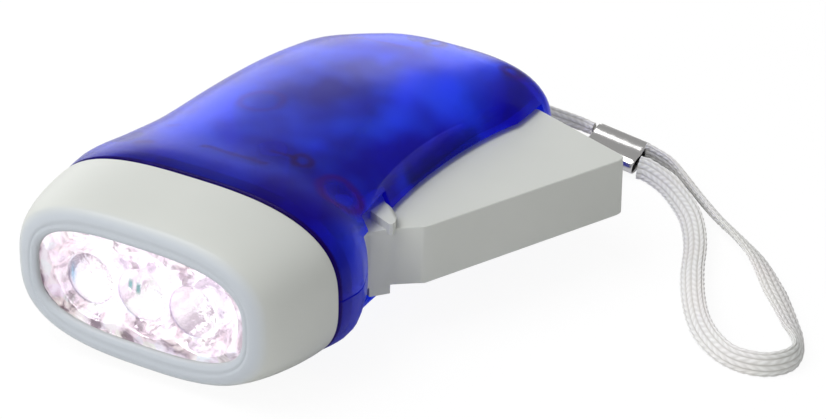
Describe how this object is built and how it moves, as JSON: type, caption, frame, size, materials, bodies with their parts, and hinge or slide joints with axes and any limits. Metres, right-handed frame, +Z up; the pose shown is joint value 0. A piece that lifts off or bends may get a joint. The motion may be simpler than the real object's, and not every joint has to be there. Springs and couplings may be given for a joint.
{
  "type": "dynamo flashlight",
  "caption": "Hand-press dynamo torch: sprung squeeze lever, gear train and magnet rotor in a translucent shell, lamp head and wrist strap.",
  "frame": {"origin": "centre of the flat belly of the lower shell, on the surface it rests on", "axes": "-Y is the beam's direction, +X is the side that the lever opens to, +Z is up from the flat belly"},
  "size_m": [0.1155, 0.1077, 0.0295],
  "materials": {
    "shell_blue": "translucent deep blue, polished",
    "bezel_grey": "light warm grey, satin moulded",
    "lens_clear": "clear polished plastic",
    "chrome": "bright plated",
    "steel": "drawn steel",
    "board_green": "solder mask",
    "gear_white": "natural moulded gear plastic",
    "magnet_grey": "sintered ferrite",
    "copper": "enamelled copper wire",
    "black_plastic": "black moulded",
    "cell_sleeve": "shrink sleeve",
    "strap_white": "braided polyester"
  },
  "bodies": {
    "housing": {"upper_shell": "shell_blue", "lower_shell": "shell_blue", "head_bezel": "bezel_grey", "lens_window": "lens_clear", "reflector_tray": "chrome", "led_1": "lens_clear", "led_2": "lens_clear", "led_3": "lens_clear", "led_board": "board_green", "circuit_board": "board_green", "rectifier": "black_plastic", "storage_cell": "cell_sleeve", "switch_body": "black_plastic", "lever_pin": "steel", "return_spring": "steel", "drive_shaft": "steel", "idler_shaft": "steel", "rotor_shaft": "steel", "gear_cover": "black_plastic", "cover_screw_1": "steel", "cover_screw_2": "steel", "cover_screw_3": "steel", "stator_core": "steel", "coil_bobbin": "black_plastic", "coil_winding": "copper", "shell_screw_1": "steel", "shell_screw_2": "steel", "shell_screw_3": "steel", "shell_screw_4": "steel", "strap_pin": "steel", "strap_tether": "strap_white", "strap_ferrule": "chrome", "strap_loop": "strap_white"},
    "squeeze_lever": {"lever": "bezel_grey"},
    "drive_gear": {"drive_gear": "gear_white"},
    "idler_gear": {"idler_gear": "gear_white"},
    "rotor": {"rotor_gear": "gear_white", "magnet_rotor": "magnet_grey"},
    "power_switch": {"switch_slider": "bezel_grey"},
    "lock_slide": {"lever_lock": "bezel_grey"}
  },
  "joints": [
    {"name": "lever_hinge", "type": "hinge", "parent": "housing", "child": "squeeze_lever", "pos_m": [0.0193, -0.0162, 0.01465], "axis": [0, 0, 1], "range_deg": [0, 22.5], "stiffness_Nm_per_rad": 0.12, "springref_deg": -28.65, "deforming": ["return_spring"]},
    {"name": "drive_spin", "type": "hinge", "parent": "housing", "child": "drive_gear", "pos_m": [0.00065, 0.01365, 0.01465], "axis": [0, 0, 1], "range_deg": [-145, 1]},
    {"name": "idler_spin", "type": "hinge", "parent": "housing", "child": "idler_gear", "pos_m": [-0.01152, 0.01691, 0.01465], "axis": [0, 0, 1], "range_deg": [-1, 360]},
    {"name": "rotor_spin", "type": "hinge", "parent": "housing", "child": "rotor", "pos_m": [-0.01048, 0.00496, 0.01465], "axis": [0, 0, 1], "range_deg": [-840, 1]},
    {"name": "switch_slide", "type": "slide", "parent": "housing", "child": "power_switch", "axis": [0, 1, 0], "range_m": [0, 0.004]},
    {"name": "lock_travel", "type": "slide", "parent": "housing", "child": "lock_slide", "axis": [0, -1, 0], "range_m": [0, 0.0034]}
  ],
  "couplings": [
    {"joint": "drive_spin", "follows": "lever_hinge", "ratio": -6.3333},
    {"joint": "idler_spin", "follows": "lever_hinge", "ratio": 15.833},
    {"joint": "rotor_spin", "follows": "lever_hinge", "ratio": -36.944}
  ]
}
